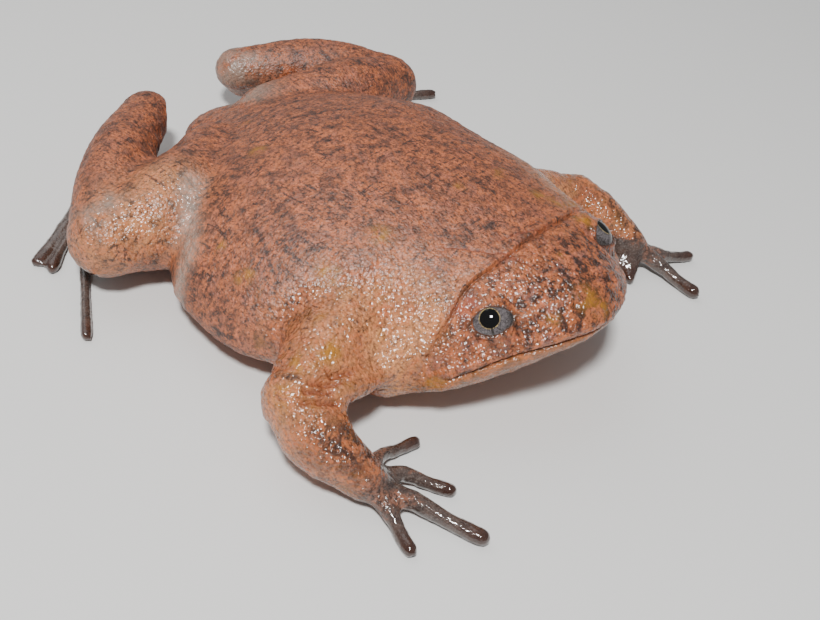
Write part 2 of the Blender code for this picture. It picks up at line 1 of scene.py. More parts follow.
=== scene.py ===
import json
from math import cos, sin
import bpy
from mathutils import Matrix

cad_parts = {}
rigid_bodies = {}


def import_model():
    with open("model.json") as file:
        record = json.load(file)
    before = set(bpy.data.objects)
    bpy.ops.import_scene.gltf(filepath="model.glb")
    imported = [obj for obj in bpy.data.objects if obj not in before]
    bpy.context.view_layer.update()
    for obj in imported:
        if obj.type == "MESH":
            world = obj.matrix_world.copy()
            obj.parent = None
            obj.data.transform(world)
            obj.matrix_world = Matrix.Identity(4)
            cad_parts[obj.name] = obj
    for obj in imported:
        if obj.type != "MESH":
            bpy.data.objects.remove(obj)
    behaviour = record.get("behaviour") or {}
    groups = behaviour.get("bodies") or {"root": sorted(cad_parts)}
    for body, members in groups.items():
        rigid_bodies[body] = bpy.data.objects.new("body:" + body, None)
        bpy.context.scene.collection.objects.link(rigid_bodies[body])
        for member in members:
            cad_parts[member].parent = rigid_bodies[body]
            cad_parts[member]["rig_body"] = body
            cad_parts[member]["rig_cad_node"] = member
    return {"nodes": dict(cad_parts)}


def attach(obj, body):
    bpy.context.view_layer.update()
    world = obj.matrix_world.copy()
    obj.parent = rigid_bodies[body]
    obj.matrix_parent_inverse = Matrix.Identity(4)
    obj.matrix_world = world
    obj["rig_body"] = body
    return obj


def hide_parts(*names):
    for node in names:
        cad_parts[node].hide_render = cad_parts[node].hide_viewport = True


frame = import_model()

from types import SimpleNamespace

import bpy
import numpy as np
from bpy.props import FloatProperty, FloatVectorProperty, PointerProperty
from bpy.types import Operator, Panel, PropertyGroup
from mathutils import Matrix, Vector, noise

bl_info = {
    "name": "Bleating frog model",
    "version": (1, 0, 0),
    "blender": (4, 5, 0),
    "location": "View3D > Sidebar > Frog",
    "description": "Skin, eyes and a plain studio for a life-size frog model",
    "category": "Add Mesh",
}

# The start-up scene's own objects go; the CAD nodes and bodies stay
for stray in list(bpy.data.objects):
    if "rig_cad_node" not in stray and not stray.name.startswith("body:"):
        bpy.data.objects.remove(stray)
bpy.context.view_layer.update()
MM = 0.001
EYE_NODES = ("eye_left", "eye_right")
FLESH_NODES = tuple(sorted(name for name in frame["nodes"] if name not in EYE_NODES))

# Places are millimetres from a point on the floor between the shoulders; this moves them to the frame
SHIFT = np.array((-0.6944, 1.4957, 0.0))

# Eyes: centre and outward direction of each, the ball with its cornea, and the opening between the lids
EYE_CENTRES = {"right": (-6.4, -18.4, 8.3), "left": (6.4, -18.2, 9.0)}
EYE_AXES = {"right": (-0.65, -0.25, 0.72), "left": (0.38, -0.33, 0.87)}
EYE_RADIUS = 2.4
CORNEA_REACH = 2.62
SOCKET_PLUG = 2.75
LID_OPENING = (1.56, 0.99)
LID_SHIFT = 0.16
LID_DROPS = {"right": 0.2, "left": 0.4}
LID_TILT = 0.58
LID_ALMOND = 1.7
LID_LIFT = 0.05
LID_DEPTH = 0.35

# The fold behind the eyes and the mouth line
NECK_Y = -16.9
NECK_BEND = 1.9
NECK_BEND_SIZE = 2.1
MOUTH_CORNER = (-18.8, 5.6)
MOUTH_FRONT = (-24.9, 9.0)
MOUTH_BOW = 1.6
NOSTRIL = (2.5, -23.0, 10.9)

# Hands and feet: wrist or sole, then the tips of the digits
DIGITS = (
    ((-19.6, -20.4), (-14.0, -18.6), (-15.5, -23.5), (-17.2, -27.8), (-21.8, -24.9)),
    ((19.4, -17.2), (15.0, -17.3), (16.8, -19.3), (20.0, -24.5), (24.6, -21.4)),
    ((-14.6, 20.2), (-15.4, 14.2), (-18.0, 12.8), (-25.1, 6.2), (-22.2, 14.4), (-22.7, 15.9)),
    ((15.8, 18.6), (15.4, 14.0), (18.6, 12.4), (22.6, 12.0), (26.4, 12.8), (23.4, 17.6)),
)

# Where along the fingers and toes the slaty colour starts, and where each stands free of its neighbours
SLATE_STARTS = {4: (-0.4, -0.2, 0.0, 0.1), 5: (-0.4,) * 5}
FREE_STARTS = {4: (0.25,) * 4, 5: (0.3,) * 5}

# Web of skin between the near upper arm and the throat: its middle, its ends' direction, half length and
# half width, and the size of the part that is smoothed
WEB_PLACE = (-16.8, -14.65, 5.7)
WEB_AHEAD = (0.964, -0.048, -0.257)
WEB_SIZE = (3.5, 1.1)
WEB_SMOOTHED = 2.2

# Wrists and ankles, each with the size of the part that is smoothed
WRISTS = (
    (-20.0, -19.8, 2.8, 1.5),
    (19.4, -17.2, 2.8, 1.5),
    (-14.0, 20.6, 1.2, 1.2),
    (15.4, 19.0, 1.2, 1.2),
)

# Stains, dark lines and creases seen on the skin; each line is its points, then its half width
STAINS = (
    (-1.4, -23.2, 11.2, 0.9),
    (-0.8, -24.2, 10.5, 0.7),
    (-4.6, -22.4, 10.4, 0.45),
    (6.0, -17.7, 11.8, 0.7),
    (-0.3, -19.7, 12.3, 0.35),
    (5.1, -13.8, 12.3, 0.7),
    (6.2, -15.0, 12.0, 0.8),
    (8.0, -15.5, 10.8, 0.7),
    (-7.9, 5.7, 11.2, 0.6),
    (-17.3, -2.7, 8.3, 0.6),
    (-16.5, 0.6, 8.8, 0.4),
    (-13.6, -7.7, 10.2, 0.7),
    (-9.1, -8.7, 12.1, 0.7),
    (-0.8, -9.6, 13.4, 0.35),
    (-11.9, -18.0, 5.2, 0.8),
    (-22.7, -12.4, 7.0, 0.8),
    (-20.3, -11.8, 7.8, 0.7),
    (-18.0, -12.5, 8.3, 0.9),
)
DARK_LINES = (
    ((-14.3, -0.7, 10.4), (-15.0, -2.2, 10.1), (-15.7, -3.8, 9.6), (-16.3, -5.4, 8.9), 0.12),
    ((-5.0, 1.6, 13.0), (-3.7, 1.7, 13.1), 0.16),
    ((-5.1, -2.4, 13.4), (-3.9, -3.0, 13.5), (-2.6, -3.4, 13.6), 0.12),
    ((-2.6, 7.1, 11.6), (-0.6, 5.7, 12.1), (2.0, 3.8, 12.5), 0.28),
    ((-7.9, -2.2, 12.9), (-7.1, -2.5, 13.0), 0.22),
    ((-2.9, -1.5, 13.5), (-2.0, -1.9, 13.5), 0.2),
    ((-4.9, -7.2, 13.3), (-2.6, -8.0, 13.4), (-0.9, -7.6, 13.5), 0.2),
    ((-16.4, 3.2, 7.6), (-15.2, 5.2, 8.6), (-14.2, 7.0, 9.2), 0.16),
)
CUFFS = (
    ((-22.5, -15.8, 6.2), (-22.2, -17.2, 5.5), (-21.6, -18.4, 4.8), 0.8),
    ((-20.9, -17.2, 5.2), (-20.2, -18.8, 4.2), (-19.0, -19.8, 2.6), 0.9),
    ((-22.2, -11.1, 6.9), (-21.3, -12.3, 7.7), 0.35),
    ((18.6, -13.5, 5.5), (19.0, -15.5, 4.6), (19.6, -17.4, 3.2), 1.0),
    ((-14.0, 20.6, 1.2), (-9.0, 22.3, 1.6), 1.2),
    ((15.0, 19.2, 1.2), (10.2, 22.4, 1.8), 1.2),
)
CREASES = (
    (
        (-3.5, -16.6, 12.3),
        (-4.3, -15.8, 12.5),
        (-4.8, -15.0, 12.4),
        (-5.5, -13.9, 12.2),
        (-6.3, -12.9, 12.1),
        0.1,
    ),
    ((-3.4, -16.8, 12.1), (-3.2, -17.6, 12.2), (-2.9, -18.5, 12.2), 0.1),
    ((1.1, -17.0, 12.5), (-0.3, -16.3, 12.8), (-1.5, -15.9, 12.9), (-3.0, -15.4, 12.8), 0.1),
    ((1.5, -16.8, 12.6), (1.3, -16.0, 12.9), (0.5, -15.9, 13.0), 0.08),
)
ELBOW_CREASES = (
    ((-19.1, -13.7, 7.2), (-17.7, -14.1, 6.8), (-16.2, -14.2, 6.0), (-14.8, -14.6, 5.0), 0.26),
    ((-20.7, -13.3, 7.3), (-19.1, -14.2, 6.9), (-17.7, -14.9, 6.1), (-15.8, -15.2, 5.4), 0.26),
    ((-21.5, -13.5, 7.2), (-19.9, -14.4, 6.7), (-18.6, -15.1, 5.6), 0.24),
    ((-22.2, -13.8, 7.0), (-21.2, -14.6, 6.8), (-20.1, -15.2, 6.4), 0.24),
)
TOE_GAPS = (((-17.6, 17.9, 0.9), (-20.2, 16.4, 0.8), (-22.3, 15.2, 0.6), 0.17),)
GROIN = (
    (-13.1, 7.8, 9.3),
    (-14.4, 6.9, 8.8),
    (-15.1, 5.9, 7.9),
    (-16.4, 4.2, 7.5),
    (-17.7, 3.0, 6.9),
    (-19.0, 2.5, 4.3),
    0.85,
)

# Soft pale or grey patches, each a place and a radius; the grey on the shins is a painted sheen
PALE_THIGH = ((-18.5, 8.3, 7.5, 3.6), (-15.0, 9.0, 8.6, 3.0), (-20.5, 9.5, 5.0, 3.0))
SHIN_SHEEN_PATCHES = (
    (5.3, 22.3, 5.6, 3.2),
    (2.6, 17.0, 6.8, 2.4),
    (-20.6, 10.5, 7.4, 1.3),
    (-19.2, 10.7, 8.2, 1.0),
)
RED_EYE_CORNER = ((-8.8, -17.0, 10.2, 0.7), (-8.2, -17.1, 10.6, 0.5))
TIP_RADIUS = 1.5

# Colours that show only in places
MAUVE = (0.22, 0.095, 0.085)
ROSE_TINT = (1.35, 1.35, 1.75)
# Painted shade in the creases, dark red
CREASE_SHADE_RED = (0.20, 0.045, 0.02)
CORNER_RED = (0.45, 0.10, 0.06)
# Painted sheen on the shins, grey
SHIN_SHEEN_GREY = (0.36, 0.25, 0.19)
GROIN_GREY = (0.50, 0.37, 0.30)
PALM_BROWN = (0.20, 0.115, 0.085)
DIGIT_GRAIN = (0.34, 0.26, 0.22)
TIP_BROWN = (0.035, 0.012, 0.007)
JAW_BROWN = (0.38, 0.15, 0.05)
BELLY_CREAM = (0.55, 0.42, 0.34)
# Painted shade in the grooves and along the lids
PAINTED_GROOVE_SHADE = (0.05, 0.022, 0.012)
PUPIL_BLACK = (0.004, 0.004, 0.004)

# Relief: height of each ridge or groove, its distance from the line it follows, and its half width
FOLD_GROOVE = (-0.20, 0.0, 0.13)
FOLD_RIM = (1.0, 0.36, 0.22)
MOUTH_GROOVE = (-0.26, 0.0, 0.12)
UPPER_LIP = (1.0, 0.45, 0.3)
LOWER_LIP = (0.8, -0.45, 0.3)
NOSTRIL_PIT = (-0.35, 0.0, 0.30)
NOSTRIL_RIM = (0.10, 0.62, 0.25)
LID_RIM = (0.08, 0.12, 0.12)
LID_GROOVE = (-0.03, 0.55, 0.2)

# Relief: depth of the creases and of the gap between toes, and heights of the beads on the fold and lips
TOE_GAP_DEPTH = 0.3
CREASE_DEPTH = 0.1
ELBOW_CREASE_DEPTH = 0.3
FOLD_BEADS = (0.15, 0.08)
LIP_BEADS = (0.10, 0.06)

# Noise in the relief: size and seed
BEAD_NOISE = (0.45, 3.0)
GRAIN_NOISE = (0.62, 11.0)
FINEST_NOISE = (0.34, 23.0)
FOLDS_NOISE = (1.9, 41.0)

# Painted shade: dark lines in the bottom of the fold and mouth and along the lids, in the same form as
# the relief
FOLD_SHADE = (1.0, 0.0, 0.09)
MOUTH_SHADE = (1.0, 0.0, 0.11)
LID_SHADE = (1.0, -0.02, 0.09)

# The skin is closed while it is swollen by this much. Its faces are split this far from the fold and
# mouth, in this many cuts, and thinned out at the end, because a piece stays under 200,000 triangles
SWELL = 0.2
FINE_REACH = 0.8
FINE_CUTS = 2
MOST_TRIANGLES = 194000

# Camera: place, direction, right and up, lens and sensor
CAMERA_PLACE = (-64.6647, -47.8897, 64.9163)
CAMERA_AHEAD = (0.63489732, 0.40157242, -0.66003408)
CAMERA_RIGHT = (0.63870578, -0.75348058, 0.15595493)
CAMERA_UP = (0.43469566, 0.52058295, 0.73486943)
CAMERA_LENS = 49.72
SENSOR_WIDTH = 36

# Lights: place and side in metres; the floor lies a hair under the belly and feet, in millimetres
KEY_LIGHT = ((-0.135, -0.065, 0.25), 0.035)
FILL_LIGHT = ((0.05, 0.25, 0.35), 0.40)
FLOOR_GAP = 0.02
SKY_COLOUR = (0.92, 0.96, 1.0)


def colour_setting(name, default, about):
    return FloatVectorProperty(
        name=name, description=about, default=default, size=3, min=0, max=1, subtype="COLOR"
    )


def length_setting(name, default, about, least=0.0):
    return FloatProperty(name=name, description=about, default=default, min=least, unit="LENGTH")


def power_setting(name, default, about):
    return FloatProperty(name=name, description=about, default=default, min=0, unit="POWER")


class FrogSkinSettings(PropertyGroup):
    """Sizes and colours of the skin."""

    mesh_step: length_setting("Mesh step", 0.00026, "Size of the skin's faces", 0.0001)
    grain_height: length_setting("Grain height", 0.00007, "Height of the skin's fine grain")
    salmon: colour_setting("Salmon", (0.52, 0.143, 0.050), "Main colour of the back")
    brown: colour_setting("Brown", (0.18, 0.060, 0.032), "Darker patches of the back")
    pale: colour_setting("Pale", (0.90, 0.38, 0.15), "Flanks behind the fold")
    speck: colour_setting("Specks", (0.024, 0.014, 0.012), "Fine dark specks and blotches")
    ochre: colour_setting("Ochre", (0.42, 0.17, 0.012), "Yellowish stains")
    grey: colour_setting("Grey", (0.075, 0.056, 0.048), "Hands and feet")


class FrogEyeSettings(PropertyGroup):
    """Sizes and colours of the eyes."""

    pupil: length_setting("Pupil", 0.00074, "Radius of the pupil")
    ring: colour_setting("Ring", (0.50, 0.36, 0.12), "Thin ring round the pupil")
    iris: colour_setting("Iris", (0.15, 0.13, 0.135), "Silvery iris")
    netting: colour_setting("Netting", (0.03, 0.025, 0.022), "Fine dark netting on the iris")


class FrogStageSettings(PropertyGroup):
    """The plain studio."""

    floor_size: length_setting("Floor", 3.0, "Side of the floor", 0.1)
    floor_colour: colour_setting("Floor colour", (0.78, 0.77, 0.75), "Colour of the floor")
    key_power: power_setting("Key light", 1.05, "Power of the main light")
    fill_power: power_setting("Fill light", 0.5, "Power of the soft light")
    sky: FloatProperty(
        name="Sky", description="Strength of the light from all round", default=0.24, min=0
    )


def ramp(value, start, end):
    """0 up to start, 1 from end on, and smooth between; start may be the larger."""
    t = np.clip((value - start) / (end - start), 0.0, 1.0)
    return t * t * (3 - 2 * t)


def ripple(form, away):
    """A rounded ridge or groove, by how far a point lies from its line."""
    height, place, width = form
    return height * np.exp(-(((away - place) / width) ** 2))


def neck_line(x, z):
    """How far back the fold lies: it bends back round each eye."""
    eye_x, _, eye_z = EYE_CENTRES["left"]
    away = (abs(x) - eye_x) ** 2 + (z - eye_z) ** 2
    return NECK_Y + NECK_BEND * np.exp(-away / NECK_BEND_SIZE**2)


def mouth_height(y):
    """Height of the mouth line, which bows up from its corners to the snout."""
    corner_y, corner_z = MOUTH_CORNER
    front_y, front_z = MOUTH_FRONT
    share = np.clip((corner_y - y) / (corner_y - front_y), 0.0, 1.0)
    return corner_z + (front_z - corner_z) * (1 - (1 - share) ** MOUTH_BOW)


def fold_and_mouth(points):
    """How far each point lies behind the fold, and how far above the mouth line."""
    x, y, z = points.T
    return y - neck_line(x, z), z - mouth_height(y)


def lip_share(points):
    """1 along the mouth and 0 behind its corners."""
    return ramp(points[:, 1], MOUTH_CORNER[0] + 0.6, MOUTH_CORNER[0] - 0.6)


def eye_frame(side):
    """Centre, outward axis, up and across of an eye, in millimetres."""
    centre = np.array(EYE_CENTRES[side])
    axis = np.array(EYE_AXES[side])
    axis /= np.linalg.norm(axis)
    up = np.array((0.0, 0.0, 1.0)) - axis * axis[2]
    up /= np.linalg.norm(up)
    across = np.cross(up, axis)
    tilt = LID_TILT * np.sign(across[1])
    up = cos(tilt) * up + sin(tilt) * across
    return centre, axis, up, np.cross(up, axis)


def select_only(*objects):
    """Selects these objects alone and makes the first one active."""
    bpy.ops.object.select_all(action="DESELECT")
    for obj in objects:
        obj.select_set(True)
    bpy.context.view_layer.objects.active = objects[0]


def apply_modifier(obj, name, kind, **settings):
    """Adds a modifier with these settings and applies it."""
    select_only(obj)
    made = obj.modifiers.new(name, kind)
    for key, value in settings.items():
        setattr(made, key, value)
    bpy.ops.object.modifier_apply(modifier=name)


def point_array(mesh):
    """Places of a mesh's corners, in millimetres from the middle between the shoulders."""
    points = np.empty(len(mesh.vertices) * 3)
    mesh.vertices.foreach_get("co", points)
    return points.reshape(-1, 3) / MM - SHIFT


def set_points(mesh, points):
    """Moves a mesh's corners to places in millimetres."""
    mesh.vertices.foreach_set("co", ((points + SHIFT) * MM).ravel())
    mesh.update()


def normal_array(mesh):
    """Outward direction at each corner."""
    ways = np.empty(len(mesh.vertices) * 3)
    mesh.vertex_normals.foreach_get("vector", ways)
    return ways.reshape(-1, 3)


def noise_at(points, size, seed=0.0):
    """Smooth noise from about -1 to 1, with bumps of that size in millimetres."""
    return np.array([noise.noise(Vector(point / size + seed)) for point in points])


def subdivide_where(obj, chosen, cuts):
    """Splits the faces whose corners are all chosen."""
    mesh = obj.data
    select_only(obj)
    bpy.ops.object.mode_set(mode="EDIT")
    bpy.ops.mesh.select_mode(type="FACE")
    bpy.ops.mesh.select_all(action="DESELECT")
    bpy.ops.object.mode_set(mode="OBJECT")
    corners = np.empty(len(mesh.loops), int)
    mesh.loops.foreach_get("vertex_index", corners)
    starts = np.empty(len(mesh.polygons), int)
    mesh.polygons.foreach_get("loop_start", starts)
    picked = np.minimum.reduceat(chosen[corners].astype(int), starts)
    mesh.polygons.foreach_set("select", picked.astype(bool))
    bpy.ops.object.mode_set(mode="EDIT")
    bpy.ops.mesh.subdivide(number_cuts=cuts, smoothness=0)
    bpy.ops.object.mode_set(mode="OBJECT")


def weigh(obj, name, values):
    """Keeps a value for each corner as a vertex group."""
    group = obj.vertex_groups.new(name=name)
    for index in np.flatnonzero(values > 0.01):
        group.add([int(index)], float(values[index]), "REPLACE")


def swollen(obj, name, amount):
    """Moves the surface outwards, but not on the free ends of the digits."""
    weigh(obj, name, 1 - digit_ends(point_array(obj.data), FREE_STARTS, 0.2))
    apply_modifier(obj, name, "DISPLACE", strength=amount * MM, mid_level=0.0, vertex_group=name)


def gap_fillers():
    """A ball in each eye socket and a spindle between the near upper arm and the throat."""
    made = []
    for side in ("left", "right"):
        centre = (eye_frame(side)[0] + SHIFT) * MM
        bpy.ops.mesh.primitive_uv_sphere_add(
            segments=48, ring_count=32, radius=SOCKET_PLUG * MM, location=centre
        )
        bpy.ops.object.transform_apply(location=True, rotation=True, scale=True)
        made.append(bpy.context.active_object)
    length, width = WEB_SIZE
    centre = (np.array(WEB_PLACE) + SHIFT) * MM
    turn = Vector(WEB_AHEAD).to_track_quat("X", "Z").to_euler()
    bpy.ops.mesh.primitive_uv_sphere_add(
        segments=32, ring_count=24, radius=MM, location=centre, rotation=turn
    )
    bpy.context.active_object.scale = (length, width, width)
    bpy.ops.object.transform_apply(location=True, rotation=True, scale=True)
    return [*made, bpy.context.active_object]


def joined_flesh():
    """Copies of the flesh nodes and the gap fillers as one object."""
    select_only(*[frame["nodes"][name] for name in FLESH_NODES])
    bpy.ops.object.duplicate()
    bpy.ops.object.parent_clear(type="CLEAR_KEEP_TRANSFORM")
    copies = list(bpy.context.selected_objects)
    select_only(*copies, *gap_fillers())
    bpy.ops.object.join()
    skin = bpy.context.active_object
    skin.name = skin.data.name = "frog_skin"
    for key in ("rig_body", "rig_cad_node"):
        if key in skin:
            del skin[key]
    skin.data.materials.clear()
    bpy.ops.object.mode_set(mode="EDIT")
    bpy.ops.mesh.select_all(action="SELECT")
    bpy.ops.mesh.remove_doubles(threshold=1e-6)
    bpy.ops.object.mode_set(mode="OBJECT")
    return skin


def seam_share(points):
    """1 along the cuts at the neck, jaw, wrists, ankles and armpit."""
    behind, above = fold_and_mouth(points)
    neck = ramp(np.abs(behind - 0.3), 2.0, 1.2)
    jaw = ramp(np.abs(above), 0.8, 0.3)
    jaw *= ramp(points[:, 1], MOUTH_CORNER[0] + 2.0, MOUTH_CORNER[0] + 1.0)
    limbs = blobs(points, (*WRISTS, (*WEB_PLACE, WEB_SMOOTHED)))
    return np.maximum(np.maximum(neck, jaw), limbs)


def closed_skin(step):
    """One closed surface round the flesh, smooth over the cuts between its nodes."""
    skin = joined_flesh()
    swollen(skin, "swell", SWELL)
    apply_modifier(skin, "close", "REMESH", mode="VOXEL", voxel_size=step)
    swollen(skin, "shrink", -SWELL)
    apply_modifier(skin, "soften", "SMOOTH", factor=0.5, iterations=3)
    weigh(skin, "seams", seam_share(point_array(skin.data)))
    apply_modifier(skin, "fill", "SMOOTH", factor=0.8, iterations=36, vertex_group="seams")
    return skin


def lid_place(points, side):
    """How far a point lies outside the lids' opening, and how far in front of the eye's centre."""
    centre, axis, up, across = eye_frame(side)
    from_eye = points - centre
    distance = np.linalg.norm(from_eye, axis=1)
    spot = from_eye / distance[:, None] * EYE_RADIUS
    aside = np.abs(spot @ across + LID_SHIFT * np.sign(across[1])) / LID_OPENING[0]
    above = np.abs(spot @ up + LID_DROPS[side]) / LID_OPENING[1]
    away = ((aside**LID_ALMOND + above**LID_ALMOND) ** (1 / LID_ALMOND) - 1) * LID_OPENING[1]
    return away, from_eye @ axis, distance


def eyeball_reach(points, side):
    """How far the eyeball's surface lies from its centre in each point's direction."""
    centre, axis = eye_frame(side)[:2]
    way = points - centre
    way /= np.linalg.norm(way, axis=1)[:, None]
    ahead = way @ axis
    aside = np.sqrt(np.clip(1 - ahead**2, 0, 1))
    return 1 / np.sqrt((ahead / CORNEA_REACH) ** 2 + (aside / EYE_RADIUS) ** 2)


def shape_lids(points):
    """The skin passes under the eyeball inside the opening and rises to a rim round it."""
    for side in ("left", "right"):
        centre = eye_frame(side)[0]
        away, ahead, distance = lid_place(points, side)
        near = (ahead > 0.3) & (distance < 4.0) & (away < 1.3)
        ball = eyeball_reach(points, side)
        lifted = ramp(away, -0.12, 0.02)
        target = ball - LID_DEPTH + (LID_LIFT + LID_DEPTH) * lifted
        outer = np.maximum(ramp(away, 0.0, 1.2), ramp(distance, 2.9, 3.8))
        target = target + (distance - target) * outer
        target += ripple(LID_RIM, away) + ripple(LID_GROOVE, away)
        way = (points - centre) / distance[:, None]
        points = np.where(near[:, None], centre + way * target[:, None], points)
    return points


def fold_share(points):
    """How strongly the fold shows: fully on the back, not on the throat."""
    return ramp(points[:, 2], 4.0, 9.0)


def along_digit(points, root, tip):
    """How far along a digit each point lies, from 0 at its root to 1 at its tip, and how far from it."""
    line = np.array(tip) - np.array(root)
    along = ((points[:, :2] - root) @ line) / (line @ line)
    nearest = root + np.clip(along, 0, 1)[:, None] * line
    return along, np.linalg.norm(points[:, :2] - nearest, axis=1)


def digit_share(points, reach=1.6):
    """1 on hands and feet, 0 on the body, by how far each point lies from a digit."""
    share = np.zeros(len(points))
    for root, *tips in DIGITS:
        for tip in tips:
            away = along_digit(points, root, tip)[1]
            near = ramp(away, reach + 1.6, reach) * ramp(points[:, 2], 3.8, 2.2)
            share = np.maximum(share, near)
    return share


def digit_ends(points, starts, fade):
    """0 at the root of each digit and 1 further out, from its own start on."""
    share = np.zeros(len(points))
    for root, *tips in DIGITS:
        for tip, start in zip(tips, starts[len(tips)]):
            along, away = along_digit(points, root, tip)
            near = ramp(away, 1.7, 0.7) * ramp(points[:, 2], 4.0, 2.6)
            share = np.maximum(share, near * ramp(along, start, start + fade))
    return share


def blobs(points, spots):
    """Soft round patches at (x, y, z, radius)."""
    share = np.zeros(len(points))
    for x, y, z, radius in spots:
        away = np.linalg.norm(points - (x, y, z), axis=1)
        share = np.maximum(share, np.exp(-((away / radius) ** 2)))
    return share


def line_share(points, lines):
    """1 on each line of points, fading over its half width."""
    share = np.zeros(len(points))
    for *knots, width in lines:
        for start, end in zip(np.array(knots[:-1]), np.array(knots[1:])):
            way = end - start
            t = np.clip((points - start) @ way / (way @ way), 0, 1)
            away = np.linalg.norm((points - start - t[:, None] * way) * (1, 1, 0.3), axis=1)
            share = np.maximum(share, np.exp(-((away / width) ** 2)))
    return share


def split_finer(obj):
    """Splits the faces along the mouth, fold and creases, then those round the eyes."""
    mesh = obj.data
    points = point_array(mesh)
    y, z = points[:, 1], points[:, 2]
    behind, above = fold_and_mouth(points)
    on_mouth = (np.abs(above) < FINE_REACH) & (y < MOUTH_CORNER[0] + 1.0)
    on_fold = (np.abs(behind - 0.15) < FINE_REACH) & (z > 4.5)
    on_crease = (line_share(points, CREASES + ELBOW_CREASES) > 1e-7) & (z > 3.0)
    subdivide_where(obj, on_mouth | on_fold | on_crease, FINE_CUTS)
    points = point_array(mesh)
    round_eyes = np.zeros(len(points), bool)
    for side in ("left", "right"):
        away, ahead, distance = lid_place(points, side)
        round_eyes |= (away < 1.7) & (ahead > 0.4) & (distance < 4.5)
    subdivide_where(obj, round_eyes, FINE_CUTS)


def drawn_relief(points):
    """Height of the fold, mouth, lips, nostrils and creases, and of the gap between two toes."""
    behind, above = fold_and_mouth(points)
    beads = noise_at(points, *BEAD_NOISE)
    fold_beads = FOLD_BEADS[0] + FOLD_BEADS[1] * beads
    lip_beads = LIP_BEADS[0] + LIP_BEADS[1] * beads
    rise = fold_share(points) * (ripple(FOLD_GROOVE, behind) + fold_beads * ripple(FOLD_RIM, behind))
    lips = ripple(UPPER_LIP, above) + ripple(LOWER_LIP, above)
    rise += lip_share(points) * (ripple(MOUTH_GROOVE, above) + lip_beads * lips)
    rise -= TOE_GAP_DEPTH * line_share(points, TOE_GAPS)
    rise -= CREASE_DEPTH * line_share(points, CREASES)
    rise -= ELBOW_CREASE_DEPTH * line_share(points, ELBOW_CREASES)
    for side in (1, -1):
        away = np.linalg.norm(points - np.array(NOSTRIL) * (side, 1, 1), axis=1)
        rise += ripple(NOSTRIL_PIT, away) + ripple(NOSTRIL_RIM, away)
    return rise


def grain_relief(points):
    """Fine grain from about -1 to 1 with faint folds, weaker on the digits and none on the lids."""
    body = 1 - digit_share(points)
    lids = np.zeros(len(points))
    for side in ("left", "right"):
        away, ahead, distance = lid_place(points, side)
        lids = np.maximum(lids, ramp(away, 0.9, 0.1) * (ahead > 0) * (distance < 3.4))
    fine = noise_at(points, *GRAIN_NOISE) + 0.6 * noise_at(points, *FINEST_NOISE)
    folds = noise_at(points * (1.0, 0.45, 1.0), *FOLDS_NOISE)
    return (fine * (0.45 + 0.55 * body) + 0.9 * folds * body) * (1 - lids)


def shape_skin(obj, grain):
    """Gives the closed skin its lids and its relief."""
    split_finer(obj)
    mesh = obj.data
    points = shape_lids(point_array(mesh))
    set_points(mesh, points)
    rise = drawn_relief(points) + (grain / MM) * grain_relief(points)
    points = points + rise[:, None] * normal_array(mesh)
    # Nothing goes below the floor
    points[:, 2] = np.maximum(points[:, 2], 0.0)
    set_points(mesh, points)


def thin_out(obj, most):
    """Takes faces away where the surface is smoothest, down to that many triangles."""
    obj.data.calc_loop_triangles()
    share = most / len(obj.data.loop_triangles)
    if share < 1:
        apply_modifier(obj, "thin", "DECIMATE", ratio=share)


def write_masks(mesh, points):
    """Regions of the skin, kept as attributes for the material."""
    x, y, z = points.T
    behind, above = fold_and_mouth(points)
    far = 9.0  # Anything further than the lids' own shade reaches
    lids = np.full(len(points), far)
    for side in ("left", "right"):
        away, ahead, distance = lid_place(points, side)
        lids = np.minimum(lids, np.where((ahead > 0) & (distance < 4.5), away, far))
    tips = [(*tip, 0.5, TIP_RADIUS) for root, *ends in DIGITS for tip in ends]
    head = ramp(behind, 1.2, -1.2) * ramp(np.abs(x), 14.4, 13.4) * ramp(z, 1.8, 2.8)
    sides = (1 - head) * ramp(y, -3.6, -11.6) * ramp(z, 12.8, 8.8)
    corner_y = MOUTH_CORNER[0]
    masks = {
        # Painted shade in the bottom of the fold and mouth, along the lids and in the gap between two
        # toes
        "fold_line_shade": fold_share(points) * ripple(FOLD_SHADE, behind),
        "mouth_line_shade": lip_share(points) * ripple(MOUTH_SHADE, above),
        "lid_edge_shade": ripple(LID_SHADE, lids),
        "dark_line": line_share(points, DARK_LINES),
        "crease_shade": line_share(points, CREASES + ELBOW_CREASES),
        "toe_gap_shade": line_share(points, TOE_GAPS),
        "groin": line_share(points, (GROIN,)),
        "cuff": line_share(points, CUFFS),
        "stain": blobs(points, STAINS),
        "thigh": blobs(points, PALE_THIGH),
        "shin_sheen": blobs(points, SHIN_SHEEN_PATCHES),
        "socket_corner": blobs(points, RED_EYE_CORNER),
        "tips": blobs(points, tips),
        "head": head,
        "crown": head * ramp(z, 8.6, 10.6) * ramp(y, -17.6, -20.6),
        "jaw": head * ramp(y, corner_y + 2.5, corner_y - 0.5) * ramp(above, 0.2, -0.1),
        "flank": sides * (1 - digit_share(points, 1.2)),
        "belly": ramp(z, 2.2, 0.2) * ramp(np.hypot(x, y * 0.8), 16.5, 13.5),
        "arms": ramp(y, -6.0, -8.0) * ramp(np.abs(x), 14.0, 16.0) * (1 - head),
        "forearm": ramp(y, -14.0, -18.0) * ramp(np.abs(x), 15.0, 17.0),
        "digits": digit_share(points),
        "slate": digit_ends(points, SLATE_STARTS, 0.6),
    }
    for name, values in masks.items():
        made = mesh.attributes.new(name, "FLOAT", "POINT")
        made.data.foreach_set("value", values.astype(np.float32))


# The Mix node's sockets for a share and two colours, and for its colour
MIX_SOCKETS = (0, 6, 7)
MIX_RESULT = 2


